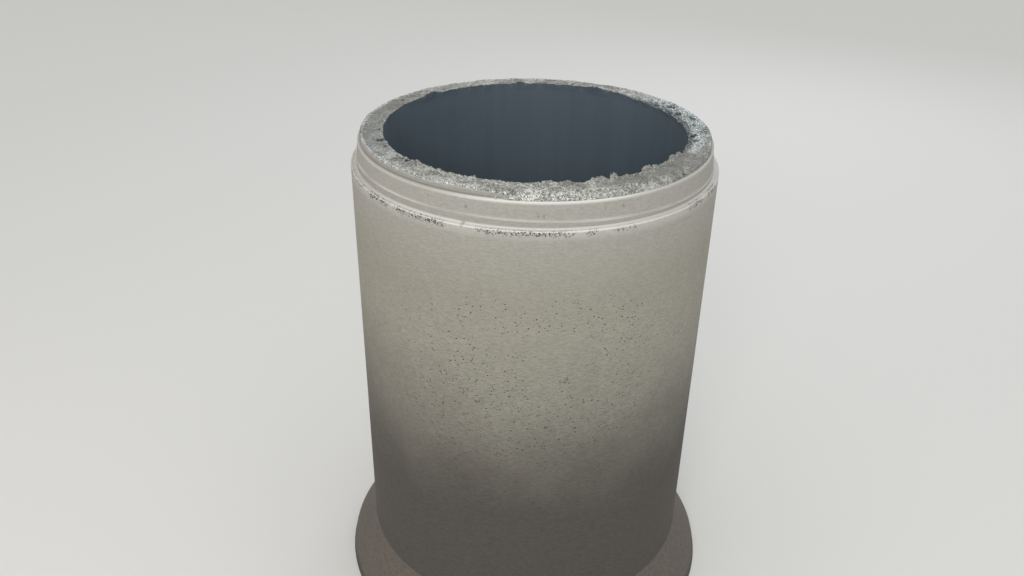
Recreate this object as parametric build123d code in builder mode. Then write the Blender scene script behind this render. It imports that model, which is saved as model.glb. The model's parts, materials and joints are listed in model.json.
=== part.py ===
"""A concrete culvert pipe, cast in one piece and standing on its bell.

The origin is the centre of the bell's end face. The pipe's axis is +Z, so the spigot is on top.
Everything is in millimetres. The pipe is one wall section turned about the axis.
"""

import os

from build123d import *

# Barrel
bore_diameter = 1200
barrel_wall = 130
laying_length = 2000  # from the bell's end face to the shoulder below the spigot

# Spigot, from the shoulder upwards
spigot_length = 118  # from the shoulder to the end of the pipe
shoulder_width = 22  # the ledge that faces up, between barrel and root band
root_band_height = 25  # the plain cylinder next to the shoulder
seat_step = 3  # how far the sealing face stands back from the root band
seat_draft = 6  # how much the sealing face leans in over its height
lip_height = 24  # the narrower lip at the end of the pipe
lip_step = 7
lip_draft = 4
seat_edge_radius = 3
lip_edge_chamfer = 3
shoulder_edge_chamfer = 3

# Bell, from its end face upwards
bell_wall = 125  # concrete around the socket
bell_length = 240  # from the end face to the crease where the flare meets the barrel
bell_band_height = 50  # the steep band beside the end face
bell_band_draft = 11  # how much the band still widens down to the end face
bell_edge_chamfer = 6

# Socket inside the bell, which takes the spigot of the next pipe
joint_clearance = 6  # on the radius, around the root band
end_clearance = 10  # beyond the end of the spigot
lead_in_width = 10
lead_in_depth = 25
socket_root_radius = 10

# Radii and heights of the wall section
bore_radius = bore_diameter / 2
barrel_radius = bore_radius + barrel_wall
root_band_radius = barrel_radius - shoulder_width
seat_foot_radius = root_band_radius - seat_step
seat_top_radius = seat_foot_radius - seat_draft
lip_foot_radius = seat_top_radius - lip_step
lip_top_radius = lip_foot_radius - lip_draft

socket_radius = root_band_radius + joint_clearance
lead_in_radius = socket_radius + lead_in_width
bell_radius = socket_radius + bell_wall
bell_end_radius = bell_radius + bell_band_draft
socket_depth = spigot_length + end_clearance

pipe_top = laying_length + spigot_length
seat_foot = laying_length + root_band_height
lip_foot = pipe_top - lip_height

bell_edge = (bell_end_radius, 0)
shoulder_edge = (barrel_radius, laying_length)
seat_edge = (seat_top_radius, lip_foot)
lip_edge = (lip_top_radius, pipe_top)
socket_root = (socket_radius, socket_depth)


def corner(section, place):
    """The corner of the wall section that lies at a radius and a height."""
    return section.vertices().sort_by_distance(Vector(*place))[0]


with BuildPart() as culvert_pipe:
    with BuildSketch(Plane.XZ) as wall_section:
        with BuildLine():
            Polyline(
                (lead_in_radius, 0),
                bell_edge,
                (bell_radius, bell_band_height),
                (barrel_radius, bell_length),
                shoulder_edge,
                (root_band_radius, laying_length),
                (root_band_radius, seat_foot),
                (seat_foot_radius, seat_foot),
                seat_edge,
                (lip_foot_radius, lip_foot),
                lip_edge,
                (bore_radius, pipe_top),
                (bore_radius, socket_depth),
                socket_root,
                (socket_radius, lead_in_depth),
                close=True,
            )
        make_face()
        chamfer(corner(wall_section, bell_edge), length=bell_edge_chamfer)
        chamfer(corner(wall_section, shoulder_edge), length=shoulder_edge_chamfer)
        fillet(corner(wall_section, seat_edge), radius=seat_edge_radius)
        chamfer(corner(wall_section, lip_edge), length=lip_edge_chamfer)
        fillet(corner(wall_section, socket_root), radius=socket_root_radius)
    revolve(axis=Axis.Z)

culvert_pipe.part.label = "culvert_pipe"
os.makedirs("parts", exist_ok=True)
export_step(culvert_pipe.part, "parts/culvert_pipe.step")
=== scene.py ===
"""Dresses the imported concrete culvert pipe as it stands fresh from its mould.

The pipe stands on its bell with the spigot on top. Lengths are in metres. Angles are in degrees
round the pipe's axis, counted from +X towards +Y, so the side nearest the camera is at 270.
"""

import json
import logging
import math
from collections.abc import Iterator
from dataclasses import dataclass
from enum import Enum
from functools import partial

import bmesh
import bpy
import numpy as np
from mathutils import Matrix, Vector, noise

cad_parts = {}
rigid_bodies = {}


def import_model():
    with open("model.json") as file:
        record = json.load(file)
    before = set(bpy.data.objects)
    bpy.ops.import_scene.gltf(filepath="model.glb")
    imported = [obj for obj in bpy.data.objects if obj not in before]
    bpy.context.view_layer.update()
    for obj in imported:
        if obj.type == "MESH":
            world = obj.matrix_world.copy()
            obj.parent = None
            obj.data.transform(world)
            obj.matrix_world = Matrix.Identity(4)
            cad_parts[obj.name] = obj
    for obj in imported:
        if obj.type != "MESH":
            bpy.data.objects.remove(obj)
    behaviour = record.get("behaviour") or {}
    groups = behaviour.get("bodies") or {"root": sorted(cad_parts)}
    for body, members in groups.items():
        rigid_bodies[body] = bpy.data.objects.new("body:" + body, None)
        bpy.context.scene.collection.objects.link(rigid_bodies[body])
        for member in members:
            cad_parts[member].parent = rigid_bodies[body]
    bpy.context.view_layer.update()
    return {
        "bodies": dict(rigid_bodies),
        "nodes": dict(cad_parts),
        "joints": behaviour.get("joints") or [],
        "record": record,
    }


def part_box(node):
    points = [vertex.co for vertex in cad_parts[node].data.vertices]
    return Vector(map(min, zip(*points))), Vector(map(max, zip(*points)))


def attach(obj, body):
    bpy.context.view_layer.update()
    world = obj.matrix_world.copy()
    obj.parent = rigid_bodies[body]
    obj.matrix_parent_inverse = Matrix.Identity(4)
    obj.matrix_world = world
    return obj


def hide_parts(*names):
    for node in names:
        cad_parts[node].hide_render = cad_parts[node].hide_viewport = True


MM = 0.001
FULL_TURN = 360.0
LOG = logging.getLogger("culvert_pipe")

Socket = bpy.types.NodeSocket
Tree = bpy.types.NodeTree


class Zone(Enum):
    """The stretches of the wall section, in order up the bore, over the spigot and down the outside."""

    BORE = "bore"
    BORE_RIM = "bore rim"
    END_FACE = "end face"
    LIP = "lip"
    LIP_LEDGE = "lip ledge"
    SEAT = "seat"
    FLASH = "flash"
    ROOT_BAND = "root band"
    SHOULDER = "shoulder"
    COLLAR = "collar"
    BARREL = "barrel"
    FLARE = "flare"
    BELL_BAND = "bell band"
    BELL_END = "bell end"
    SOCKET = "socket"


class Surface(Enum):
    """How a stretch of concrete got its surface, which is also its material's place on the pipe."""

    FORMED = 0
    BROKEN = 1
    CORED = 2


CORED_ZONES = (Zone.BORE, Zone.BORE_RIM, Zone.SOCKET)
COARSE_ZONES = (Zone.BORE, Zone.BARREL, Zone.FLARE, Zone.BELL_BAND, Zone.BELL_END, Zone.SOCKET)


def smooth_step(low: float, high: float, value: float) -> float:
    """Rises smoothly from 0, where the value is low, to 1, where it is high."""
    share = min(max((value - low) / (high - low), 0.0), 1.0)
    return share * share * (3.0 - 2.0 * share)


def turn_between(angle: float, other: float) -> float:
    """The smaller turn between two angles, from 0 to 180 degrees."""
    turn = abs(angle - other) % FULL_TURN
    return min(turn, FULL_TURN - turn)


def nearness(angle: float, middle: float, full: float, none: float) -> float:
    """Is 1 up to the full turn away from the middle angle, and 0 beyond the turn called none."""
    return 1.0 - smooth_step(full, none, turn_between(angle, middle))


def linear_colour(hex_value: str) -> tuple[float, float, float, float]:
    """Turns an sRGB hex value into the linear colour that a shader takes.

    Args:
        hex_value: six hex digits, such as "9a968b".

    Returns:
        Red, green, blue and an alpha of 1.
    """
    shares = [int(hex_value[i : i + 2], 16) / 255.0 for i in (0, 2, 4)]
    linear = [s / 12.92 if s <= 0.04045 else ((s + 0.055) / 1.055) ** 2.4 for s in shares]
    return (linear[0], linear[1], linear[2], 1.0)


class Kind(Enum):
    """The kinds of node in use: type, settings, inputs in the order of their values, and output."""

    OBJECT_PLACE = ("ShaderNodeTexCoord", {}, (), "Object")
    HEIGHT = ("ShaderNodeSeparateXYZ", {}, (0,), "Z")
    STRETCHED = ("ShaderNodeMapping", {}, ("Vector", "Scale"), 0)
    NOISE = ("ShaderNodeTexNoise", {}, ("Vector", "Scale", "Detail", "Roughness"), 0)
    CELLS = ("ShaderNodeTexVoronoi", {}, ("Vector", "Scale"), "Distance")
    MASK = ("ShaderNodeAttribute", {}, (), "Fac")
    RED = ("ShaderNodeSeparateColor", {}, (0,), 0)
    GREEN = ("ShaderNodeSeparateColor", {}, (0,), 1)
    RANGE = ("ShaderNodeMapRange", {}, ("Value", "From Min", "From Max", "To Min", "To Max"), 0)
    SMOOTH_RANGE = (
        "ShaderNodeMapRange",
        {"interpolation_type": "SMOOTHSTEP"},
        ("Value", "From Min", "From Max", "To Min", "To Max"),
        0,
    )
    SUM = ("ShaderNodeMath", {"operation": "ADD"}, (0, 1), 0)
    DIFFERENCE = ("ShaderNodeMath", {"operation": "SUBTRACT"}, (0, 1), 0)
    PRODUCT = ("ShaderNodeMath", {"operation": "MULTIPLY"}, (0, 1), 0)
    PRODUCT_PLUS = ("ShaderNodeMath", {"operation": "MULTIPLY_ADD"}, (0, 1, 2), 0)
    LARGER = ("ShaderNodeMath", {"operation": "MAXIMUM"}, (0, 1), 0)
    UNSIGNED = ("ShaderNodeMath", {"operation": "ABSOLUTE"}, (0,), 0)
    SCALED = ("ShaderNodeVectorMath", {"operation": "SCALE"}, (0, "Scale"), 0)
    TINTED = ("ShaderNodeVectorMath", {"operation": "MULTIPLY"}, (0, 1), 0)
    BLEND = ("ShaderNodeMix", {"data_type": "RGBA"}, (0, 6, 7), 2)
    NUMBER_BLEND = ("ShaderNodeMix", {"data_type": "FLOAT"}, (0, 2, 3), 0)
    RAMP = ("ShaderNodeValToRGB", {}, (0,), 0)
    BUMP = ("ShaderNodeBump", {}, ("Height", "Strength", "Distance"), 0)
    LIGHT_PATH = ("ShaderNodeLightPath", {}, (), "Is Camera Ray")
    BACKGROUND = ("ShaderNodeBackground", {}, ("Color", "Strength"), 0)
    SHADER_BLEND = ("ShaderNodeMixShader", {}, (0, 1, 2), 0)
    WORLD = ("ShaderNodeOutputWorld", {}, ("Surface",), 0)
    GIVEN = ("NodeGroupInput", {}, (), 0)
    SCATTER = (
        "GeometryNodeDistributePointsOnFaces",
        {"distribute_method": "RANDOM"},
        ("Mesh", "Density", "Seed"),
        "Points",
    )
    BALL = ("GeometryNodeMeshIcoSphere", {}, ("Radius", "Subdivisions"), "Mesh")
    RANDOM_VECTOR = ("FunctionNodeRandomValue", {"data_type": "FLOAT_VECTOR"}, ("Min", "Max", "Seed"), 0)
    RANDOM_NUMBER = ("FunctionNodeRandomValue", {"data_type": "FLOAT"}, (2, 3, "Seed"), 1)
    MARKED = (
        "GeometryNodeStoreNamedAttribute",
        {"data_type": "FLOAT", "domain": "POINT"},
        ("Geometry", "Name", "Value"),
        0,
    )
    PLACED = ("GeometryNodeInstanceOnPoints", {}, ("Points", "Instance", "Rotation", "Scale"), 0)
    REALIZED = ("GeometryNodeRealizeInstances", {}, ("Geometry",), 0)
    DRESSED = ("GeometryNodeSetMaterial", {}, ("Geometry", "Material"), 0)
    RESULT = ("NodeGroupOutput", {}, ("Geometry",), 0)


def add_node(tree: Tree, kind: Kind, *values: object, **settings: object) -> Socket | None:
    """Adds one node, with its settings and with its inputs set or linked.

    Args:
        tree: the node tree that takes it.
        kind: what the node is.
        values: for each input that the kind names, in order, its value or the socket that feeds it.
        settings: the node's own properties beside those of its kind.

    Returns:
        The output that the kind names, or None where the node ends its tree.
    """
    type_name, own_settings, inputs, output = kind.value
    node = tree.nodes.new(type_name)
    for name, value in {**own_settings, **settings}.items():
        setattr(node, name, value)
    for key, value in zip(inputs, values):
        if isinstance(value, Socket):
            tree.links.new(value, node.inputs[key])
        else:
            node.inputs[key].default_value = value
    return node.outputs[output] if len(node.outputs) else None


def add_object(name: str, data: bpy.types.ID) -> bpy.types.Object:
    """Puts a new object into the scene.

    Args:
        name: the object's name.
        data: its mesh, lamp or camera.

    Returns:
        The object, at the origin, unturned and unscaled.
    """
    made = bpy.data.objects.new(name, data)
    bpy.context.scene.collection.objects.link(made)
    return made


@dataclass(frozen=True)
class PipeSizes:
    """The pipe's real sizes. The first ones come from the frame's mounts and box."""

    top: float
    bore_radius: float
    socket_depth: float
    root_radius: float
    root_height: float
    shoulder: float
    socket_radius: float
    barrel_radius: float = 0.730
    seat_step: float = 3 * MM
    seat_draft: float = 6 * MM
    lip_height: float = 24 * MM
    lip_step: float = 7 * MM
    lip_draft: float = 4 * MM
    bell_wall: float = 0.125
    bell_length: float = 0.240
    bell_band: float = 0.050
    bell_draft: float = 11 * MM
    lead_in_width: float = 10 * MM
    lead_in_depth: float = 25 * MM
    edge_break: float = 3 * MM

    @classmethod
    def from_frame(cls, frame: dict) -> "PipeSizes":
        """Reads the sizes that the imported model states.


        Returns:
            The pipe's sizes.
        """
        mounts = {mount["name"]: mount for mount in frame["record"]["mounts"]}
        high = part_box("culvert_pipe")[1]
        spigot = mounts["spigot"]
        root_height = spigot["dims"]["length_mm"] * MM
        return cls(
            top=high.z,
            bore_radius=mounts["bore"]["dims"]["r_mm"] * MM,
            socket_depth=high.z - mounts["bore"]["dims"]["length_mm"] * MM,
            root_radius=spigot["dims"]["r_mm"] * MM,
            root_height=root_height,
            shoulder=spigot["pos_m"][2] - root_height / 2,
            socket_radius=mounts["socket"]["dims"]["r_mm"] * MM,
        )

    @property
    def bell_radius(self) -> float:
        """Radius of the bell at the top of its band."""
        return self.socket_radius + self.bell_wall

    @property
    def bell_end_radius(self) -> float:
        """Radius of the bell at its end face."""
        return self.bell_radius + self.bell_draft

    @property
    def seat_foot_radius(self) -> float:
        """Radius of the sealing face at its foot."""
        return self.root_radius - self.seat_step

    @property
    def seat_top_radius(self) -> float:
        """Radius of the sealing face at its top."""
        return self.seat_foot_radius - self.seat_draft

    @property
    def lip_foot_radius(self) -> float:
        """Radius of the narrow lip at its foot."""
        return self.seat_top_radius - self.lip_step

    @property
    def lip_top_radius(self) -> float:
        """Radius of the narrow lip at the end of the pipe."""
        return self.lip_foot_radius - self.lip_draft

    @property
    def seat_foot(self) -> float:
        """Height of the sealing face's foot."""
        return self.shoulder + self.root_height

    @property
    def lip_foot(self) -> float:
        """Height of the lip's foot."""
        return self.top - self.lip_height


@dataclass(frozen=True)
class Station:
    """One ring of the wall: its place in the section and how far along its zone it lies."""

    zone: Zone
    radius: float
    height: float
    along: float


@dataclass(frozen=True)
class Pit:
    """A hole in the surface, at an angle and at a radius on the end face or a height on the side.

    Its stretch says how much longer it is that way than round the axis.
    """

    angle: float
    place: float
    width: float
    depth: float
    stretch: float = 1.0


@dataclass(frozen=True)
class Burr:
    """A ragged crest of mortar that stands on the bore's rim, or a gap in it if its rise is below 0."""

    angle: float
    spread: float
    rise: float


@dataclass(frozen=True)
class Honeycomb:
    """A run of open pores along the shoulder's outer edge."""

    start: float
    end: float
    strength: float


@dataclass(frozen=True)
class Weathered:
    """What the casting did to one point: its shift, how open it is, and how much painted shade and
    painted sheen it gets.
    """

    out: float = 0.0
    up: float = 0.0
    # painted shade: darkens pits, pores, nicks, the torn edge and the crease under the lip
    hollow: float = 0.0
    # painted sheen: highlights on ledges and edges, and a bluish sky reflection on the end face
    film: float = 0.0
    porous: float = 0.0
    rim: float = 0.0


@dataclass(frozen=True)
class Casting:
    """How the cast end of the spigot and the shoulder's edge differ from the clean section."""

    lump_size: float = 60 * MM
    lump_rise: float = 3.0 * MM
    clod_size: float = 22 * MM
    clod_rise: float = 1.4 * MM
    grain_size: float = 9 * MM
    grain_rise: float = 1.2 * MM
    rim_rise: float = 4 * MM
    rim_wander: float = 4 * MM
    crumbling: tuple[tuple[float, float], ...] = ((0.35, 45.0), (0.65, 120.0), (0.40, 240.0))
    worn_from: float = 256.0
    worn_to: float = 350.0
    wear_blend: float = 13.0
    worn_drop: float = 17 * MM
    worn_reach: float = 0.50
    flash_drop: float = 16 * MM
    flash_lift: float = 4 * MM
    flash_highest: float = 235.0
    pore_size: float = 9 * MM
    pore_depth: float = 6 * MM
    pore_band: float = 32 * MM
    least_porous: float = 0.20
    pressed_middle: float = 193.0
    grey_middle: float = 182.0
    open_middle: float = 256.0
    smeared_inside: float = 314.0
    smeared_outside: float = 334.0
    torn_middle: float = 12.0
    widest_tear: float = 29.0
    torn_reach: float = 42.0
    torn_depth: float = 18 * MM
    voids: tuple[Pit, ...] = (
        Pit(199.0, 0.618, 17 * MM, 18 * MM),
        Pit(205.6, 0.612, 10 * MM, 10 * MM),
        Pit(187.5, 0.612, 9 * MM, 10 * MM),
        Pit(222.0, 0.610, 11 * MM, 10 * MM),
        Pit(38.0, 0.640, 10 * MM, 14 * MM, 0.7),
        Pit(33.3, 0.651, 13 * MM, 18 * MM, 0.6),
        Pit(27.9, 0.648, 27 * MM, 34 * MM, 0.62),
        Pit(33.5, 0.613, 15 * MM, 15 * MM, 0.5),
        Pit(24.3, 0.612, 17 * MM, 16 * MM, 0.5),
        Pit(20.1, 0.632, 19 * MM, 28 * MM, 0.62),
        Pit(13.8, 0.662, 24 * MM, 32 * MM, 0.55),
        Pit(6.5, 0.640, 11 * MM, 14 * MM, 0.6),
        Pit(355.6, 0.621, 17 * MM, 20 * MM, 0.9),
        Pit(349.0, 0.628, 13 * MM, 16 * MM, 0.8),
        Pit(321, 0.682, 6 * MM, 6 * MM),
        Pit(75, 0.640, 10 * MM, 11 * MM),
        Pit(118, 0.622, 11 * MM, 12 * MM),
        Pit(151, 0.655, 9 * MM, 10 * MM),
    )
    nicks: tuple[Pit, ...] = (
        Pit(239.0, 2.068, 3.2 * MM, 3 * MM),
        Pit(251.3, 2.054, 3.2 * MM, 3 * MM),
        Pit(271.5, 2.046, 3.2 * MM, 2 * MM),
        Pit(273.0, 2.046, 3.2 * MM, 2 * MM),
        Pit(290.3, 2.064, 3.2 * MM, 2 * MM),
        Pit(295.8, 2.060, 3.2 * MM, 2 * MM),
        Pit(250.8, 1.999, 8 * MM, 1.5 * MM),
        Pit(217.8, 1.942, 7 * MM, 4 * MM),
    )
    burrs: tuple[Burr, ...] = (
        Burr(226, 1.5, 5 * MM),
        Burr(236, 1.1, 4 * MM),
        Burr(242, 1.0, 3 * MM),
        Burr(250, 1.2, 3 * MM),
        Burr(275, 1.8, 6 * MM),
        Burr(281, 1.2, 4 * MM),
        Burr(285, 1.5, -4 * MM),
        Burr(292, 2.6, 11 * MM),
        Burr(297.6, 1.2, 17 * MM),
        Burr(302, 1.6, 4 * MM),
        Burr(311.5, 1.0, 13 * MM),
        Burr(315, 2.2, 8 * MM),
        Burr(320, 2.0, 5 * MM),
        Burr(326, 1.8, 12 * MM),
        Burr(331, 2.2, 9 * MM),
        Burr(335, 1.6, -7 * MM),
        Burr(64, 3.2, 9 * MM),
        Burr(97, 1.9, 6 * MM),
        Burr(140, 2.8, 8 * MM),
        Burr(171, 1.6, 6 * MM),
    )
    honeycombs: tuple[Honeycomb, ...] = (
        Honeycomb(180, 212, 0.70),
        Honeycomb(214, 226, 0.95),
        Honeycomb(228, 247, 0.90),
        Honeycomb(254, 281, 0.85),
        Honeycomb(284, 288, 0.70),
        Honeycomb(292, 301, 0.60),
        Honeycomb(319, 328, 0.85),
        Honeycomb(330, 341, 0.95),
        Honeycomb(8, 24, 0.7),
        Honeycomb(47, 58, 0.9),
        Honeycomb(83, 104, 0.8),
        Honeycomb(131, 140, 1.0),
        Honeycomb(158, 171, 0.7),
    )

    def lip_wear(self, angle: float, place: Vector) -> float:
        """How far the coarse concrete of the end face has taken over the lip.

        Args:
            angle: degrees round the axis.
            place: the point, which makes the border uneven.

        Returns:
            0 where the lip is whole, up to 1 where nothing of it is left.
        """
        uneven = angle + 4.0 * noise.noise(place * 21.0) + 7.0 * noise.noise(place * 80.0)
        beyond = (uneven - self.worn_from) % FULL_TURN
        length = (self.worn_to - self.worn_from) % FULL_TURN
        if beyond > (length + FULL_TURN) / 2:
            beyond -= FULL_TURN
        return smooth_step(0.0, self.wear_blend, beyond) * (
            1.0 - smooth_step(length - self.wear_blend, length, beyond)
        )

    def burr_rise(self, angle: float) -> float:
        """Height of the crests on the bore's rim.

        Args:
            angle: degrees round the axis.

        Returns:
            The rise in metres.
        """
        return sum(
            burr.rise * math.exp(-((turn_between(angle, burr.angle) / burr.spread) ** 4))
            for burr in self.burrs
            if turn_between(angle, burr.angle) < 2.0 * burr.spread
        )

    def pit_depth(self, pits: tuple[Pit, ...], angle: float, radius: float, place: float) -> float:
        """Depth of the single holes at a point.

        Args:
            pits: the holes to look through.
            angle: degrees round the axis.
            radius: the point's distance from the axis.
            place: its radius on the end face, or its height on the side.

        Returns:
            The depth in metres.
        """
        depth = 0.0
        for pit in pits:
            turned = math.radians(turn_between(angle, pit.angle)) * radius
            away = math.hypot(turned, (place - pit.place) / pit.stretch) / pit.width
            if away < 1.0:
                depth = max(depth, pit.depth * (1.0 - away**4))
        return depth

    def porosity(self, angle: float, place: Vector) -> float:
        """How open the concrete is along the shoulder's edge.

        Args:
            angle: degrees round the axis.
            place: the point, which makes each run's ends uneven.

        Returns:
            0 where it is closed, up to 1 in the most open runs.
        """
        uneven = angle + 2.0 * noise.noise(place * 45.0)
        porous = self.least_porous
        for run in self.honeycombs:
            middle = (run.start + run.end) / 2
            half = (run.end - run.start) / 2
            porous = max(porous, run.strength * nearness(uneven, middle, half - 1.5, half + 0.8))
        return porous

    def smear(self, angle: float, across: float) -> float:
        """How far, from 0 to 1, the pressure ring smeared the face shut, as on the camera's right."""
        shift = self.smeared_outside - self.smeared_inside
        return nearness(angle, self.smeared_inside + shift * smooth_step(0.45, 0.85, across), 14.0, 30.0)

    def openness(self, angle: float, across: float) -> float:
        """How open the coarse end face is.

        Args:
            angle: degrees round the axis.
            across: 0 at the bore's rim, 1 at the lip's outer edge.

        Returns:
            From about 0.5, where it is closest, to 0.96, where it is most open.
        """
        outer = smooth_step(0.60, 0.92, across)
        smeared = self.smear(angle, across)
        front = nearness(angle, self.open_middle, 18.0, 52.0)
        back = nearness(angle, self.torn_middle, 20.0, 44.0) * (1.0 - smeared)
        grey = nearness(angle, self.grey_middle, 22.0, 40.0)
        return 0.76 + 0.20 * front * outer + 0.12 * back - 0.12 * smeared - 0.12 * grey

    def flash_sag(self, angle: float) -> float:
        """How far the mould's joint line at the foot of the seat runs below its nominal height.

        Args:
            angle: degrees round the axis.

        Returns:
            The drop in metres, most on the camera's right.
        """
        turned = (angle - self.flash_highest) % FULL_TURN
        tilt = smooth_step(0.0, 100.0, turned) * (1.0 - smooth_step(115.0, 235.0, turned))
        return self.flash_drop * tilt - self.flash_lift

    def torn(self, angle: float, across: float) -> float:
        """How far the inner edge is torn away, as it is at the back right.

        Args:
            angle: degrees round the axis.
            across: 0 at the bore's rim, 1 at the lip's outer edge.

        Returns:
            0 where it is whole, up to 1.
        """
        width = 0.30 + 0.20 * nearness(angle, self.widest_tear, 4.0, 14.0)
        reach = nearness(angle, self.torn_middle, 0.6 * self.torn_reach, self.torn_reach)
        return (1.0 - smooth_step(0.06, width, across)) * reach

    def crest(self, angle: float, across: float, place: Vector, loose: float) -> float:
        """Height of the ragged crest that stands round the bore.

        Args:
            angle: degrees round the axis.
            across: 0 at the bore's rim, 1 at the lip's outer edge.
            place: the point on the clean section.
            loose: how loose and rough the rim is there, from 0 to about 1.5.

        Returns:
            The rise in metres.
        """
        crumb = sum(share * noise.noise(place * often) for share, often in self.crumbling)
        burrs = self.burr_rise(angle + 1.5 * noise.noise(place * 40.0)) * (1.0 + 0.35 * crumb)
        return self.rim_rise * loose * (1.0 + crumb) + burrs * (1.0 - smooth_step(0.02, 0.16, across))

    def end_face(self, across: float, radius: float, angle: float, place: Vector) -> Weathered:
        """Weathers a point of the coarse end face.

        Args:
            across: 0 at the bore's rim, 1 at the lip's outer edge.
            radius: the point's distance from the axis.
            angle: degrees round the axis.
            place: the point on the clean section.

        Returns:
            Its shift and masks.
        """
        openness = self.openness(angle, across)
        rough = 2.0 * openness - 0.6  # about 1 where the face is neither smeared nor very open
        worn = self.lip_wear(angle, place)
        pressed = nearness(angle, self.pressed_middle, 20.0, 34.0)
        rim = 1.0 - smooth_step(0.0, 0.26, across)
        loose = rim * (1.0 - 0.8 * pressed)
        crest = self.crest(angle, across, place, rough * loose)
        wander = self.rim_wander * loose * (noise.noise(place * 26.0) + 0.5 * noise.noise(place * 90.0))
        torn = self.torn(angle, across)
        tear = 0.6 + 0.35 * noise.noise(place * 45.0) + 0.25 * noise.noise(place * 120.0)
        rise = self.lump_rise * noise.noise(place / self.lump_size)
        rise += self.clod_rise * rough * noise.noise(place / self.clod_size)
        rise += self.grain_rise * rough * noise.noise(place / self.grain_size)
        rise -= self.worn_drop * worn * smooth_step(self.worn_reach, 1.0, across)
        rise -= self.torn_depth * torn * tear
        depth = self.pit_depth(self.voids, angle, radius, radius)
        # painted shade: speckled over the torn inner edge, and in the voids
        torn_shade = torn * (0.42 + 0.5 * smooth_step(-0.15, 0.2, noise.noise(place * 110.0)))
        gap = max(0.85 * min(depth / (3 * MM), 1.0), torn_shade)
        # painted bluish sky reflection at the back right, weaker where the face is smeared
        bloom = nearness(angle, self.torn_middle, 20.0, 44.0) * (1.0 - 0.75 * self.smear(angle, across))
        # painted highlight along the pressed inner edge on the camera's left
        skin = pressed * (0.18 + 0.82 * (1.0 - smooth_step(0.04, 0.14, across)))
        # painted highlight along the lip's outer edge where the lip is whole
        edge = smooth_step(0.84, 0.96, across) * (1.0 - worn)
        return Weathered(
            out=wander - 0.45 * crest,
            up=rise + crest - depth,
            hollow=gap,
            film=max(0.35 * edge, bloom, skin),
            porous=openness * (1.0 - 0.5 * gap) + 0.3 * edge,
            rim=rim,
        )

    def shoulder_edge(self, band: float, angle: float, place: Vector, film: float) -> Weathered:
        """Weathers a point near the shoulder's outer edge.

        Args:
            band: 1 at the edge, down to 0 where the open concrete ends.
            angle: degrees round the axis.
            place: the point on the clean section.
            film: how much painted sheen, a highlight on the ledge, lies there.

        Returns:
            Its shift and masks.
        """
        porous = self.porosity(angle, place) * band
        near = noise.voronoi(place / self.pore_size)[0][0]
        depth = self.pore_depth * porous * (1.0 - smooth_step(0.13, 0.40, near))
        crumble = 1.8 * MM * noise.noise(place * 80.0) * (0.15 + porous) * band
        depth += self.pit_depth(self.nicks, angle, math.hypot(place.x, place.y), place.z)
        return Weathered(
            out=crumble - depth,
            up=-0.4 * depth,
            # painted shade in the pores and nicks
            hollow=min(0.9 * depth / (4.5 * MM), 1.0),
            # painted sheen on the ledge, weaker where it is porous
            film=film * (1.0 - 0.3 * porous),
            porous=porous,
        )


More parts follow.
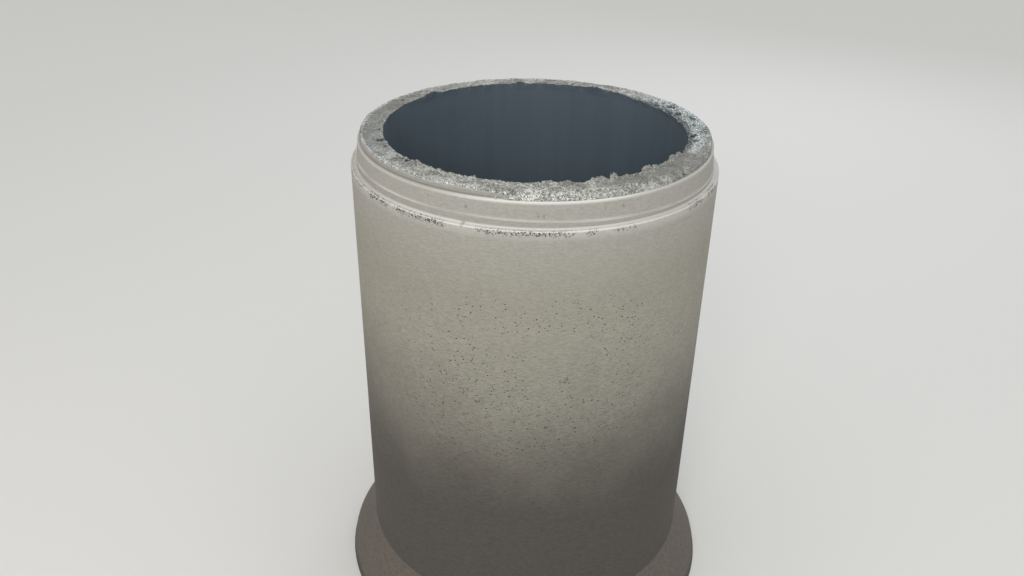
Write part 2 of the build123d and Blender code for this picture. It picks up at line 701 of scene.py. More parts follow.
@dataclass
class PipeWall:
    """The whole pipe as one closed mesh, turned from its wall section and then weathered."""

    sizes: PipeSizes
    casting: Casting
    coarse_columns: int = 320
    fine_columns: int = 1280
    flash_height: float = 1.2 * MM
    rim_depth: float = 40 * MM
    collar_depth: float = 44 * MM
    # angles where the painted sheen on the shoulder is weakest, and on the seat's top edge strongest
    bare_middle: float = 196.0
    thin_middle: float = 330.0
    whitest_middle: float = 275.0
    least_open: float = 0.4  # openness from which the lip counts as broken face
    sharpest_smooth: float = 38.0
    name: str = "pipe_wall"

    def corners(self) -> list[tuple[Zone, float, float, int]]:
        """The section's corners in order, each with the zone that leads to it and that zone's rings.

        Returns:
            Zone, radius, height and number of rings for each straight stretch.
        """
        s = self.sizes
        return [
            (Zone.BORE, s.bore_radius, s.top - self.rim_depth, 6),
            (Zone.BORE_RIM, s.bore_radius, s.top, 7),
            (Zone.END_FACE, s.lip_top_radius, s.top, 26),
            (Zone.LIP, s.lip_foot_radius, s.lip_foot, 5),
            (Zone.LIP_LEDGE, s.seat_top_radius - 2 * MM, s.lip_foot, 2),
            (Zone.LIP_LEDGE, s.seat_top_radius, s.lip_foot - 2 * MM, 1),
            (Zone.SEAT, s.seat_foot_radius, s.seat_foot + self.flash_height, 7),
            (Zone.FLASH, s.root_radius + 0.5 * MM, s.seat_foot + self.flash_height, 1),
            (Zone.FLASH, s.root_radius, s.seat_foot - self.flash_height, 1),
            (Zone.ROOT_BAND, s.root_radius, s.shoulder, 3),
            (Zone.SHOULDER, s.barrel_radius - s.edge_break, s.shoulder, 4),
            (Zone.SHOULDER, s.barrel_radius, s.shoulder - s.edge_break, 1),
            (Zone.COLLAR, s.barrel_radius, s.shoulder - self.collar_depth, 11),
            (Zone.BARREL, s.barrel_radius, s.bell_length, 12),
            (Zone.FLARE, s.bell_radius, s.bell_band, 3),
            (Zone.BELL_BAND, s.bell_end_radius - 1 * MM, 2 * s.edge_break, 2),
            (Zone.BELL_END, s.bell_end_radius - 2 * s.edge_break, 0.0, 1),
            (Zone.BELL_END, s.socket_radius + s.lead_in_width, 0.0, 2),
            (Zone.SOCKET, s.socket_radius, s.lead_in_depth, 2),
            (Zone.SOCKET, s.socket_radius, s.socket_depth - 10 * MM, 2),
            (Zone.SOCKET, s.socket_radius - 10 * MM, s.socket_depth, 2),
            (Zone.SOCKET, s.bore_radius, s.socket_depth, 2),
        ]

    def stations(self) -> Iterator[Station]:
        """Walks once round the wall section.

        Yields:
            The rings in order, the last one next to the first.
        """
        radius, height = self.sizes.bore_radius, self.sizes.socket_depth
        for zone, end_radius, end_height, rings in self.corners():
            for ring in range(rings):
                along = ring / rings
                yield Station(
                    zone,
                    radius + (end_radius - radius) * along,
                    height + (end_height - height) * along,
                    along,
                )
            radius, height = end_radius, end_height

    def film_on_shoulder(self, angle: float) -> float:
        """How strong, from 0 to 1, the painted sheen on the shoulder's ledge is, weakest towards the
        camera's left.
        """
        bare = nearness(angle, self.bare_middle, 10.0, 45.0)
        return 0.95 - 0.37 * bare - 0.30 * nearness(angle, self.thin_middle, 14.0, 40.0)

    def film_on_seat(self, angle: float) -> float:
        """How strong, from 0 to 1, the painted highlight on the seat's top edge is, most near the camera.
        """
        return 0.4 + 0.6 * nearness(angle, self.whitest_middle, 12.0, 38.0)

    def weather(self, station: Station, angle: float, place: Vector) -> Weathered:
        """Works out what the casting did to one point.

        Args:
            station: the point's ring.
            angle: degrees round the axis.
            place: the point on the clean section.

        Returns:
            Its shift and masks.
        """
        casting, sizes, along = self.casting, self.sizes, station.along
        waviness = 0.5 * MM * noise.noise(place * 5.0)
        match station.zone:
            case Zone.END_FACE:
                return casting.end_face(along, station.radius, angle, place)
            case Zone.BORE_RIM:
                reach = smooth_step(sizes.top - self.rim_depth, sizes.top, station.height)
                face = casting.end_face(0.0, station.radius, angle, place)
                return Weathered(out=face.out * reach * reach, up=face.up * reach * reach, porous=0.0)
            case Zone.LIP:
                face = casting.end_face(1.0, station.radius, angle, place)
                worn, left = casting.lip_wear(angle, place), 1.0 - along
                taken = smooth_step(0.35, 0.50, worn)
                edge = 1.2 * MM * noise.noise(place * 60.0) * left
                # painted highlight along the lip's top edge
                film = 0.55 + 0.6 * noise.noise(place * 60.0)
                film *= smooth_step(0.75, 1.0, left) * (1.0 - worn)
                # painted shadow under the lip, darkest at its foot
                crease = (0.16 + 0.34 * smooth_step(0.6, 0.8, along)) * (1.0 - worn)
                rise = face.up * left * max(worn, left)
                return Weathered(edge, rise, crease, film, taken * face.porous)
            case Zone.LIP_LEDGE:
                return Weathered(out=waviness, film=self.film_on_seat(angle))
            case Zone.SEAT:
                sag = casting.flash_sag(angle) * along
                depth = casting.pit_depth(casting.nicks, angle, station.radius, station.height - sag)
                # painted highlight on the seat's top edge
                film = self.film_on_seat(angle) * max(1.0 - 7.0 * along, 0.0)
                # the nicks are darkened with painted shade
                return Weathered(waviness - depth, -sag, min(depth / (4 * MM), 0.7), film)
            case Zone.FLASH:
                ragged = 0.6 * MM * noise.noise(place * 30.0)
                # painted highlight along the mould's joint line
                film = 0.45 + 0.4 * noise.noise(place * 7.0)
                return Weathered(ragged, -casting.flash_sag(angle), film=film)
            case Zone.ROOT_BAND:
                return Weathered(out=waviness, up=-casting.flash_sag(angle) * (1.0 - along))
            case Zone.SHOULDER:
                edge = station.height < sizes.shoulder
                band = 1.0 if edge else smooth_step(0.30, 0.80, along)
                return casting.shoulder_edge(band, angle, place, self.film_on_shoulder(angle))
            case Zone.COLLAR:
                drop = sizes.shoulder - station.height
                band = 1.0 - smooth_step(0.30 * casting.pore_band, casting.pore_band, drop)
                # painted sheen running down from the shoulder's ledge, and a faint painted highlight on
                # the collar's top
                film = self.film_on_shoulder(angle) * (1.0 - smooth_step(3 * MM, 9 * MM, drop))
                film = max(film, 0.28 * (1.0 - smooth_step(8 * MM, self.collar_depth, drop)))
                return casting.shoulder_edge(band, angle, place, film)
            case Zone.BARREL | Zone.FLARE:
                return Weathered(out=waviness)
        return Weathered()

    def surface_of(self, station: Station, worn: bool) -> Surface:
        """Says how the concrete at a point got its surface.

        Args:
            station: the point's ring.
            worn: whether the coarse concrete reaches over the lip there.

        Returns:
            The kind of surface.
        """
        if station.zone in CORED_ZONES:
            return Surface.CORED
        if station.zone is Zone.END_FACE or (station.zone is Zone.LIP and worn):
            return Surface.BROKEN
        return Surface.FORMED

    def faces_between(self, low: int, low_count: int, high: int, high_count: int) -> Iterator[list[int]]:
        """Joins two neighbouring rings, also where one has more points than the other.

        Args:
            low: first point of the one ring.
            low_count: how many points it has.
            high: first point of the other ring.
            high_count: how many points that one has.

        Yields:
            The corners of each face.
        """
        steps = min(low_count, high_count)
        low_share, high_share = low_count // steps, high_count // steps
        for step in range(steps):
            there = [low + (step * low_share + i) % low_count for i in range(low_share + 1)]
            back = [high + (step * high_share + i) % high_count for i in range(high_share + 1)]
            yield there + back[::-1]

    def cast_ring(self, station: Station) -> tuple[list[Vector], list[Weathered]]:
        """Casts one ring of the wall, with fewer points where the surface is plain.

        Args:
            station: the ring.

        Returns:
            Its points, and what the casting did to each of them.
        """
        columns = self.coarse_columns if station.zone in COARSE_ZONES else self.fine_columns
        points, casts = [], []
        for column in range(columns):
            angle = FULL_TURN * column / columns
            cosine, sine = math.cos(math.radians(angle)), math.sin(math.radians(angle))
            place = Vector((station.radius * cosine, station.radius * sine, station.height))
            cast = self.weather(station, angle, place)
            radius = station.radius + cast.out
            points.append(Vector((radius * cosine, radius * sine, station.height + cast.up)))
            casts.append(cast)
        return points, casts

    def build(self) -> bpy.types.Object:
        """Makes the mesh, its masks and its face materials.

        Returns:
            The pipe's object, without materials yet.
        """
        stations = list(self.stations())
        points: list[Vector] = []
        casts: list[Weathered] = []
        starts: list[int] = []
        counts: list[int] = []
        for station in stations:
            ring, ring_casts = self.cast_ring(station)
            starts.append(len(points))
            counts.append(len(ring))
            points.extend(ring)
            casts.extend(ring_casts)
        faces: list[list[int]] = []
        surfaces: list[int] = []
        for row, station in enumerate(stations):
            after = (row + 1) % len(stations)
            for face in self.faces_between(starts[row], counts[row], starts[after], counts[after]):
                faces.append(face)
                worn = casts[face[0]].porous > self.least_open
                surfaces.append(self.surface_of(station, worn).value)
        mesh = bpy.data.meshes.new(self.name)
        mesh.from_pydata(points, [], faces)
        mesh.polygons.foreach_set("material_index", surfaces)
        # the masks include the painted shade and the painted sheen
        for mask in ("hollow", "film", "porous", "rim"):
            values = [getattr(cast, mask) for cast in casts]
            mesh.attributes.new(mask, "FLOAT", "POINT").data.foreach_set("value", values)
        turned = bmesh.new()
        turned.from_mesh(mesh)
        bmesh.ops.recalc_face_normals(turned, faces=turned.faces[:])
        turned.to_mesh(mesh)
        turned.free()
        mesh.polygons.foreach_set("use_smooth", [True] * len(mesh.polygons))
        mesh.set_sharp_from_angle(angle=math.radians(self.sharpest_smooth))
        mesh.update()
        return add_object(self.name, mesh)


@dataclass
class LooseGrains:
    """Sand, chips or crumbs that stand out of the concrete, scattered by Geometry Nodes."""

    name: str
    pipe: bpy.types.Object
    mask: str
    least_mask: float
    per_square_metre: float
    smallest: float
    largest: float
    palest: float
    seed: int
    least_stretch: tuple[float, float, float] = (0.75, 0.6, 0.45)
    most_stretch: tuple[float, float, float] = (1.3, 1.1, 0.9)

    def bed(self) -> bpy.types.Object:
        """Copies the faces of the pipe that the mask picks, as the bed that the grains sit in.

        Returns:
            An object that holds only those faces.
        """
        source = self.pipe.data
        share = np.empty(len(source.vertices), np.float32)
        source.attributes[self.mask].data.foreach_get("value", share)
        faces = [
            list(face.vertices)
            for face in source.polygons
            if face.material_index != Surface.CORED.value and share[face.vertices[0]] > self.least_mask
        ]
        used = sorted({index for face in faces for index in face})
        place = {index: at for at, index in enumerate(used)}
        mesh = bpy.data.meshes.new(self.name)
        mesh.from_pydata(
            [tuple(source.vertices[index].co) for index in used],
            [],
            [[place[index] for index in face] for face in faces],
        )
        mesh.update()
        return add_object(self.name, mesh)

    def tree(self) -> bpy.types.GeometryNodeTree:
        """Builds the node tree that scatters the grains.

        Returns:
            The tree, with named inputs for density, grain sizes, seed and material.
        """
        tree = bpy.data.node_groups.new("scatter_grains", "GeometryNodeTree")
        for label, kind in (
            ("Geometry", "Geometry"),
            ("Grains per square metre", "Float"),
            ("Smallest radius", "Float"),
            ("Largest radius", "Float"),
            ("Palest tint", "Float"),
            ("Seed", "Int"),
            ("Finish", "Material"),
        ):
            tree.interface.new_socket(label, in_out="INPUT", socket_type=f"NodeSocket{kind}")
        tree.interface.new_socket("Geometry", in_out="OUTPUT", socket_type="NodeSocketGeometry")
        add = partial(add_node, tree)
        given = add(Kind.GIVEN).node.outputs
        seed = given["Seed"]
        points = add(Kind.SCATTER, given["Geometry"], given["Grains per square metre"], seed)
        ball = add(Kind.BALL, 1.0, 1)
        turn = add(Kind.RANDOM_VECTOR, (0.0,) * 3, (math.tau,) * 3, seed)
        size = add(Kind.RANDOM_NUMBER, given["Smallest radius"], given["Largest radius"], seed)
        stretch = add(Kind.RANDOM_VECTOR, self.least_stretch, self.most_stretch, seed)
        scale = add(Kind.SCALED, stretch, size)
        tint = add(Kind.RANDOM_NUMBER, 0.0, given["Palest tint"], seed)
        marked = add(Kind.MARKED, points, "tint", tint)
        placed = add(Kind.PLACED, marked, ball, turn, scale)
        real = add(Kind.REALIZED, placed)
        add(Kind.RESULT, add(Kind.DRESSED, real, given["Finish"]))
        return tree

    def build(self, finish: bpy.types.Material) -> bpy.types.Object:
        """Scatters the grains and turns them into one plain mesh.

        Args:
            finish: the grains' material.

        Returns:
            The grains' object.
        """
        bed = self.bed()
        tree = self.tree()
        modifier = bed.modifiers.new("scatter", "NODES")
        modifier.node_group = tree
        values = {
            "Grains per square metre": self.per_square_metre,
            "Smallest radius": self.smallest,
            "Largest radius": self.largest,
            "Palest tint": self.palest,
            "Seed": self.seed,
            "Finish": finish,
        }
        for item in tree.interface.items_tree:
            if item.in_out == "INPUT" and item.name in values:
                modifier[item.identifier] = values[item.name]
        depsgraph = bpy.context.evaluated_depsgraph_get()
        mesh = bpy.data.meshes.new_from_object(
            bed.evaluated_get(depsgraph), preserve_all_data_layers=True, depsgraph=depsgraph
        )
        bed.modifiers.remove(modifier)
        bare = bed.data
        bed.data = mesh
        bpy.data.meshes.remove(bare)
        mesh.name = self.name
        return bed


@dataclass(frozen=True, kw_only=True)
class Finish:
    """What the finishes share: the material's name, its roughness and the way it is put together."""

    name: str
    roughness: float

    def pattern(self, tree: Tree) -> tuple[Socket, Socket | None]:
        """Adds the finish's nodes, and gives their colour, and their relief or None."""
        raise NotImplementedError

    def build(self) -> bpy.types.Material:
        """Makes the material.

        Returns:
            The material, ready to be put on a piece.
        """
        material = bpy.data.materials.new(self.name)
        material.use_nodes = True
        tree = material.node_tree
        shader = tree.nodes["Principled BSDF"].inputs
        colour, relief = self.pattern(tree)
        tree.links.new(colour, shader["Base Color"])
        if relief is not None:
            tree.links.new(relief, shader["Normal"])
        shader["Roughness"].default_value = self.roughness
        return material


@dataclass(frozen=True, kw_only=True)
class FormedConcrete(Finish):
    """Dry-cast concrete struck from a steel mould.

    It is matt and fine grained, with a closed cement skin, scattered air holes, short level drag
    marks from the mould, and a darker foot, drawn partly as damp and partly as painted shade. The spigot,
    cast against its own ring, is paler.
    """

    sizes: PipeSizes
    name: str = "steel_formed_dry_cast_concrete"
    roughness: float = 0.86
    skin: str = "989589"
    cloud: str = "949186"
    spigot: str = "a4a19a"
    # colour of the darker foot: partly damp concrete, partly painted shade
    damp: str = "4d4944"
    # painted light on the flare, which faces up
    dusty: str = "645d56"
    # colour of the painted sheen and highlights on ledges and edges
    film: str = "e3e2dc"
    # colour of the painted shade in pores, air holes, pits and under the lip
    pore: str = "33322e"
    graininess: float = 0.6
    blotch_size: float = 0.30  # clouds that make the edge of the damp and painted shade uneven, a few hundred mm wide
    mottle_size: float = 0.060
    sand_size: float = 0.005  # real sand is 1 to 4 mm, drawn a little coarser so that it shows
    grit: tuple[float, float] = (0.94, 1.06)
    drag_length: float = 0.022  # a mould drags grains for 10 to 30 mm, in marks 2 to 5 mm high
    drag_height: float = 0.005
    drag_fades: tuple[float, float] = (1.30, 1.85)  # the heights between which the marks get fainter
    strong_drag: tuple[float, float] = (0.86, 1.14)
    faint_drag: tuple[float, float] = (0.93, 1.07)
    pore_size: float = 0.007
    holes_begin: tuple[float, float] = (0.60, 1.25)  # heights of the first holes and of all of them
    holes_end: tuple[float, float] = (1.85, 1.65)
    holes_aside: tuple[float, float] = (0.66, 0.30)
    patches: tuple[float, float] = (0.30, 0.48)
    fewest_holes: float = 0.34
    holes_on_bell: float = 0.8
    hole_spacing: float = 0.023
    hole_radius: float = 3.7 * MM  # air holes are 2 to 7 mm wide in dry-cast concrete
    pinhole_spacing: float = 0.014
    pinhole_radius: float = 2.0 * MM
    # heights between which the foot's damp and painted shade fade out
    dry_from: float = 0.85
    dry_height: float = 1.78
    fresh_reach: float = 0.30

    def pattern(self, tree: Tree) -> tuple[Socket, Socket | None]:
        """Adds skin, drag marks, painted sheen on ledges and edges, and pores and air holes darkened with
        painted shade.

        Args:
            tree: the material's tree.

        Returns:
            The colour and the relief, which read the masks named film, hollow and porous.
        """
        add = partial(add_node, tree)
        place = add(Kind.OBJECT_PLACE)
        height = add(Kind.HEIGHT, place)
        blotch = add(Kind.NOISE, place, 1 / self.blotch_size, 4.0, self.graininess)
        mottle = add(Kind.NOISE, place, 1 / self.mottle_size, 5.0, self.graininess)
        sand = add(Kind.NOISE, place, 1 / self.sand_size, 2.0, self.graininess)
        dragging = (1 / self.drag_length, 1 / self.drag_length, 1 / self.drag_height)
        level = add(Kind.STRETCHED, place, dragging)
        drag = add(Kind.NOISE, level, 1.0, 2.0, self.graininess)
        body = self.body_colour(tree, height, blotch, mottle)
        grit = add(Kind.SMOOTH_RANGE, sand, 0.3, 0.7, *self.grit)
        contrast = [
            add(Kind.SMOOTH_RANGE, height, *self.drag_fades, strong, faint)
            for strong, faint in zip(self.strong_drag, self.faint_drag)
        ]
        drawn = add(Kind.SMOOTH_RANGE, drag, 0.3, 0.7, *contrast)
        toned = add(Kind.SCALED, body, add(Kind.PRODUCT, grit, drawn))
        # painted sheen on ledges and edges
        film = add(Kind.MASK, attribute_name="film")
        with_painted_sheen = add(Kind.BLEND, film, toned, linear_colour(self.film))
        # painted shade in pits, creases, pores and air holes
        hollow = add(Kind.MASK, attribute_name="hollow")
        shaded_gaps = self.open_pores(tree, place)
        for more in (hollow, self.air_holes(tree, place, blotch)):
            shaded_gaps = add(Kind.LARGER, shaded_gaps, more)
        colour = add(Kind.BLEND, shaded_gaps, with_painted_sheen, linear_colour(self.pore))
        relief = add(Kind.PRODUCT_PLUS, sand, 0.35, drag)
        pitted = add(Kind.PRODUCT_PLUS, shaded_gaps, -2.0, relief)
        return colour, add(Kind.BUMP, pitted, 0.75, 2.0 * MM)

    def body_colour(self, tree: Tree, height: Socket, blotch: Socket, mottle: Socket) -> Socket:
        """Adds the colour of the closed skin: clouded, darker at the foot as damp and painted shade,
        lighter on the flare as painted light, and paler on the spigot.

        Args:
            tree: the material's tree.
            height: height above the ground.
            blotch: the widest pattern, which makes the edge of the damp and painted shade uneven.
            mottle: the finer clouds.

        Returns:
            The colour.
        """
        add = partial(add_node, tree)
        spigot, crease, band = self.sizes.shoulder, self.sizes.bell_length, self.sizes.bell_band
        clouded = add(Kind.SMOOTH_RANGE, mottle, 0.30, 0.70)
        skin = add(Kind.BLEND, clouded, linear_colour(self.skin), linear_colour(self.cloud))
        fresh = add(Kind.SMOOTH_RANGE, height, spigot - self.fresh_reach, spigot, 0.0, 0.8)
        dry = add(Kind.BLEND, fresh, skin, linear_colour(self.spigot))
        # darker towards the foot: partly damp, partly painted shade
        uneven = add(Kind.PRODUCT_PLUS, blotch, 0.3, height)
        dryness_and_light = add(Kind.SMOOTH_RANGE, uneven, self.dry_from, self.dry_height)
        barrel = add(Kind.BLEND, dryness_and_light, linear_colour(self.damp), dry)
        # painted light on the upward-facing flare, between the crease and the bell band
        below = add(Kind.SMOOTH_RANGE, height, crease + 6 * MM, crease - 4 * MM)
        slope = add(Kind.SMOOTH_RANGE, height, band - 15 * MM, band + 5 * MM)
        flare_light = add(Kind.PRODUCT, below, slope)
        with_lit_flare = add(Kind.BLEND, flare_light, barrel, linear_colour(self.dusty))
        above = add(Kind.SMOOTH_RANGE, height, spigot - 1 * MM, spigot + 1 * MM)
        return add(Kind.BLEND, above, with_lit_flare, linear_colour(self.spigot))

    def open_pores(self, tree: Tree, place: Socket) -> Socket:
        """Adds the ragged pores where the concrete stayed open.

        Args:
            tree: the material's tree.
            place: the coordinates to work on.

        Returns:
            A mask that is 1 inside a pore.
        """
        add = partial(add_node, tree)
        porous = add(Kind.MASK, attribute_name="porous")
        ragged = add(Kind.NOISE, place, 1 / self.pore_size, 1.0, self.graininess)
        low = add(Kind.SMOOTH_RANGE, porous, 0.0, 1.0, 0.86, 0.51)
        high = add(Kind.SMOOTH_RANGE, porous, 0.0, 1.0, 0.90, 0.57)
        return add(Kind.SMOOTH_RANGE, ragged, low, high)

    def air_holes(self, tree: Tree, place: Socket, blotch: Socket) -> Socket:
        """Adds the small air holes, in two sizes, most of them at mid height, front and back.

        Args:
            tree: the material's tree.
            place: the coordinates to work on.
            blotch: a wide pattern that thins the holes out in places.

        Returns:
            A mask that is 1 inside a hole.
        """
        add = partial(add_node, tree)
        height = add(Kind.HEIGHT, place)
        aside = add(Kind.UNSIGNED, height.node.outputs["X"])
        often = add(Kind.SMOOTH_RANGE, height, *self.holes_begin)
        for value, reach in ((height, self.holes_end), (aside, self.holes_aside), (blotch, self.patches)):
            thinning = add(Kind.SMOOTH_RANGE, value, *reach)
            often = add(Kind.PRODUCT, often, thinning)
        on_barrel = add(Kind.SMOOTH_RANGE, often, 0.0, 1.0, self.fewest_holes, 1.0)
        bell = (self.sizes.bell_length + 2 * MM, self.sizes.bell_length - 4 * MM)
        on_bell = add(Kind.SMOOTH_RANGE, height, *bell, 0.0, self.holes_on_bell)
        share = add(Kind.LARGER, on_barrel, on_bell)
        squat = add(Kind.STRETCHED, place, (1.0, 1.0, 1.5))
        masks = []
        for spacing, radius in (
            (self.hole_spacing, self.hole_radius),
            (self.pinhole_spacing, self.pinhole_radius),
        ):
            cell = add(Kind.CELLS, squat, 1 / spacing)
            width = add(Kind.PRODUCT, share, radius / spacing)
            inside = add(Kind.DIFFERENCE, width, cell)
            masks.append(add(Kind.SMOOTH_RANGE, inside, 0.0, 0.3 * radius / spacing))
        return add(Kind.LARGER, *masks)


@dataclass(frozen=True, kw_only=True)
class BrokenConcrete(Finish):
    """The coarse face that the pressure ring left on the end of the pipe.

    It is dry-cast mix with no cement skin: pale and grey sand, small crushed stone, and gaps darkened
    with painted shade.
    """

    name: str = "open_dry_cast_concrete"
    roughness: float = 0.9
    tones: tuple[tuple[float, str], ...] = ((0.54, "5c5d59"), (0.82, "a0a099"), (1.0, "dcdcd5"))
    closed_tone: float = 0.76
    grain_share: float = 0.36
    # brightening and bluish tint of the painted sky reflection and sheen
    bloom: tuple[float, float, float] = (1.26, 1.40, 1.56)
    # colour of the painted shade in gaps and voids
    gap: str = "2f353a"
    stone_size: float = 0.008  # the mix has crushed stone of 5 to 10 mm
    sand_size: float = 0.004  # and sand of up to 4 mm, drawn at its coarsest so that it shows
    pore_size: float = 0.006
    patch_size: float = 0.07

    def pattern(self, tree: Tree) -> tuple[Socket, Socket | None]:
        """Adds stones, sand, a pale bluish painted sheen and sky reflection, and gaps darkened with
        painted shade.

        Args:
            tree: the material's tree.

        Returns:
            The colour and the relief, which read the masks named film, hollow and porous.
        """
        add = partial(add_node, tree)
        place = add(Kind.OBJECT_PLACE)
        openness = add(Kind.MASK, attribute_name="porous")
        # painted sheen and sky reflection
        film = add(Kind.MASK, attribute_name="film")
        stones = add(Kind.CELLS, place, 1 / self.stone_size)
        sand = add(Kind.CELLS, place, 1 / self.sand_size)
        patch = add(Kind.NOISE, place, 1 / self.patch_size, 3.0)
        stone_tint = add(Kind.RED, stones.node.outputs["Color"])
        sand_tint = add(Kind.GREEN, sand.node.outputs["Color"])
        both = add(Kind.SUM, stone_tint, sand_tint)
        all_three = add(Kind.PRODUCT_PLUS, both, self.grain_share, patch)
        contrast = add(Kind.RANGE, openness, 0.64, 0.95, 0.38)
        mixed = add(Kind.NUMBER_BLEND, contrast, self.closed_tone, all_three)
        ramp = add(Kind.RAMP, mixed)
        stops = ramp.node.color_ramp.elements
        stops.new(1.0)
        for stop, (position, tone) in zip(stops, self.tones):
            stop.position = position
            stop.color = linear_colour(tone)
        strength = add(Kind.RANGE, openness, 0.55, 1.0, 0.56, 1.26)
        toned = add(Kind.SCALED, ramp, strength)
        # painted sky reflection and sheen: paler and bluer
        with_sky_reflection = add(Kind.BLEND, film, toned, add(Kind.TINTED, toned, self.bloom))
        ragged = add(Kind.NOISE, place, 1 / self.pore_size, 1.0)
        open_more = add(Kind.PRODUCT_PLUS, film, 0.5, openness)
        least = add(Kind.RANGE, open_more, 0.55, 1.3, 0.70, 0.48)
        most = add(Kind.SUM, least, 0.07)
        pores = add(Kind.SMOOTH_RANGE, ragged, least, most, 0.0, 0.85)
        # painted shade in the voids, the torn edge and the pores
        hollow = add(Kind.MASK, attribute_name="hollow")
        shaded_gaps = add(Kind.LARGER, hollow, pores)
        colour = add(Kind.BLEND, shaded_gaps, with_sky_reflection, linear_colour(self.gap))
        relief = add(Kind.PRODUCT_PLUS, sand, 0.4, stones)
        return colour, add(Kind.BUMP, relief, 0.7, 3.0 * MM, invert=True)


@dataclass(frozen=True, kw_only=True)
class CoredConcrete(Finish):
    """The bore, pressed against a turning steel core and still damp: smooth, faintly scored, and dark,
    partly as damp and partly as painted shade.
    """

    name: str = "core_pressed_damp_concrete"
    roughness: float = 0.55
    # dark colours of the bore: partly damp concrete, partly painted shade
    wet: str = "525e68"
    dull: str = "5c6971"
    cloud_size: float = 0.30
    score_size: float = 0.012  # the core's scores are 1 to 3 mm apart, drawn coarser so that they show
    streak_width: float = 0.05
    streak_length: float = 1.2

    def pattern(self, tree: Tree) -> tuple[Socket, Socket | None]:
        """Adds clouds, upright streaks and level scores.

        Args:
            tree: the material's tree.

        Returns:
            The colour and the relief.
        """
        add = partial(add_node, tree)
        place = add(Kind.OBJECT_PLACE)
        cloud = add(Kind.NOISE, place, 1 / self.cloud_size, 5.0)
        level = add(Kind.STRETCHED, place, (0.8, 0.8, 1 / self.score_size))
        score = add(Kind.NOISE, level, 1.0, 2.0)
        streaking = (1 / self.streak_width, 1 / self.streak_width, 1 / self.streak_length)
        upright = add(Kind.STRETCHED, place, streaking)
        streak = add(Kind.NOISE, upright, 1.0, 3.0)
        clouded = add(Kind.PRODUCT_PLUS, streak, 1.6, cloud)
        share = add(Kind.RANGE, clouded, 0.5, 2.1)
        colour = add(Kind.BLEND, share, linear_colour(self.wet), linear_colour(self.dull))
        return colour, add(Kind.BUMP, score, 0.25, 0.6 * MM)


@dataclass(frozen=True, kw_only=True)
class CrushedStone(Finish):
    """Grains of the dry-cast mix: sand and crushed stone dusted with cement, each with its own tint."""

    name: str = "cement_dusted_stone_grain"
    roughness: float = 0.88
    dark: str = "50514d"
    pale: str = "d2d2ca"

    def pattern(self, tree: Tree) -> tuple[Socket, Socket | None]:
        """Adds the tint of each grain as the colour, and no relief."""
        tint = add_node(tree, Kind.MASK, attribute_name="tint")
        return add_node(tree, Kind.BLEND, tint, linear_colour(self.dark), linear_colour(self.pale)), None


@dataclass(frozen=True)
class Lamp:
    """One soft area lamp that points at the middle of the pipe."""

    name: str
    place: tuple[float, float, float]
    width: float
    watts: float
    colour: str

    def build(self, target: Vector) -> bpy.types.Object:
        """Hangs the lamp.

        Args:
            target: the point that it shines at.

        Returns:
            The lamp's object.
        """
        light = bpy.data.lights.new(self.name, "AREA")
        light.shape = "DISK"
        light.size = self.width
        light.energy = self.watts
        light.color = linear_colour(self.colour)[:3]
        lamp = add_object(self.name, light)
        lamp.location = self.place
        lamp.rotation_euler = (target - Vector(self.place)).to_track_quat("-Z", "Y").to_euler()
        lamp.visible_camera = False
        return lamp


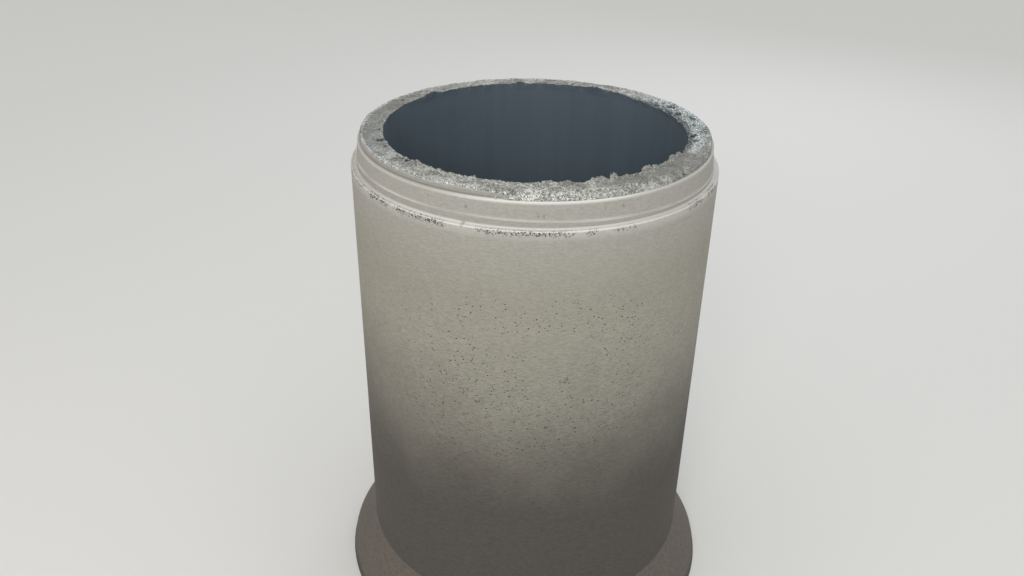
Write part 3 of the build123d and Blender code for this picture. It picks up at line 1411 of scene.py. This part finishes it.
@dataclass
class Studio:
    """A plain pale floor, soft lamps and the camera at the viewing angle of the real shot."""

    floor_radius: float = 70.0
    floor_sides: int = 128
    floor_colour: str = "e9e8e4"
    sky_colour: str = "f6f7f8"
    sky_strength: float = 0.72
    camera_distance: float = 3.4212
    camera_height: float = 3.2646
    camera_pitch: float = 28.766
    camera_yaw: float = -1.362
    camera_roll: float = -1.001
    camera_lens: float = 31.506
    sensor_width: float = 36.0
    lamps: tuple[Lamp, ...] = (
        Lamp("front_softbox", (-0.6, -6.5, 5.6), 3.5, 210.0, "fdfdfa"),
        Lamp("left_softbox", (-6.0, -2.5, 2.2), 2.5, 13.0, "ffd0b0"),
        Lamp("back_softbox", (3.4, 8.0, 6.2), 5.0, 110.0, "eef4ff"),
    )

    def floor(self) -> bpy.types.Object:
        """Lays the floor, round so that its far edge looks level from any side.

        Returns:
            The floor's object.
        """
        reach = Vector((self.floor_radius, 0.0, 0.0))
        turns = [math.tau * side / self.floor_sides for side in range(self.floor_sides)]
        mesh = bpy.data.meshes.new("studio_floor")
        edge = [Matrix.Rotation(turn, 3, "Z") @ reach for turn in turns]
        mesh.from_pydata(edge, [], [range(self.floor_sides)])
        material = bpy.data.materials.new("matt_studio_paint")
        material.use_nodes = True
        shader = material.node_tree.nodes["Principled BSDF"]
        shader.inputs["Base Color"].default_value = linear_colour(self.floor_colour)
        shader.inputs["Roughness"].default_value = 0.95
        mesh.materials.append(material)
        floor = add_object("studio_floor", mesh)
        return floor

    def sky(self) -> None:
        """Lights the whole room evenly, and shows white where the floor ends."""
        world = bpy.data.worlds.new("studio_sky")
        bpy.context.scene.world = world
        world.use_nodes = True
        tree = world.node_tree
        tree.nodes.clear()
        add = partial(add_node, tree)
        path = add(Kind.LIGHT_PATH).node.outputs
        seen = add(Kind.LARGER, path["Is Camera Ray"], path["Is Glossy Ray"])
        soft = add(Kind.BACKGROUND, linear_colour(self.sky_colour), self.sky_strength)
        white = add(Kind.BACKGROUND, linear_colour(self.floor_colour), 1.0)
        add(Kind.WORLD, add(Kind.SHADER_BLEND, seen, soft, white))

    def camera(self) -> bpy.types.Object:
        """Sets the camera.

        Returns:
            The camera's object.
        """
        pitch, yaw = math.radians(self.camera_pitch), math.radians(self.camera_yaw)
        ahead = Vector(
            (math.sin(yaw) * math.cos(pitch), math.cos(yaw) * math.cos(pitch), -math.sin(pitch))
        )
        right = Vector((math.cos(yaw), -math.sin(yaw), 0.0))
        level = Matrix((right, right.cross(ahead), -ahead)).transposed()
        roll = Matrix.Rotation(math.radians(-self.camera_roll), 3, "Z")
        lens = bpy.data.cameras.new("camera")
        lens.lens = self.camera_lens
        lens.sensor_width = self.sensor_width
        lens.clip_end = self.floor_radius * 2
        camera = add_object("camera", lens)
        camera.matrix_world = Matrix.Translation((0.0, -self.camera_distance, self.camera_height)) @ (
            level @ roll
        ).to_4x4()
        bpy.context.scene.camera = camera
        return camera

    def build(self, target: Vector) -> None:
        """Sets up camera, floor, sky and lamps.

        Args:
            target: the point that the lamps shine at.
        """
        self.camera()
        self.floor()
        self.sky()
        for lamp in self.lamps:
            lamp.build(target)
        bpy.context.scene.view_settings.view_transform = "Standard"


def main() -> None:
    """Builds the stage and the pipe, and hangs each piece on the frame's root body."""
    logging.basicConfig(level=logging.INFO, format="%(name)s: %(message)s")
    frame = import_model()
    sizes = PipeSizes.from_frame(frame)
    Studio().build(Vector((0.0, 0.0, sizes.top / 2)))

    pipe = PipeWall(sizes, Casting()).build()
    for finish in (FormedConcrete(sizes=sizes), BrokenConcrete(), CoredConcrete()):
        pipe.data.materials.append(finish.build())
    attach(pipe, "root")
    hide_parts("culvert_pipe")
    LOG.info("%s has %d faces", pipe.name, len(pipe.data.polygons))

    stone = CrushedStone().build()
    grains_of_face = LooseGrains(
        name="open_face_grains",
        pipe=pipe,
        mask="porous",
        least_mask=0.80,
        per_square_metre=21000.0,
        smallest=1.3 * MM,
        largest=2.8 * MM,
        palest=1.0,
        seed=7,
    )
    crumbs = LooseGrains(
        name="rim_crumbs",
        pipe=pipe,
        mask="rim",
        least_mask=0.60,
        per_square_metre=12000.0,
        smallest=1.6 * MM,
        largest=3.8 * MM,
        palest=0.75,
        seed=11,
    )
    for loose in (grains_of_face, crumbs):
        grains = loose.build(stone)
        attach(grains, "root")
        LOG.info("%s has %d faces", grains.name, len(grains.data.polygons))


if __name__ == "__main__":
    main()
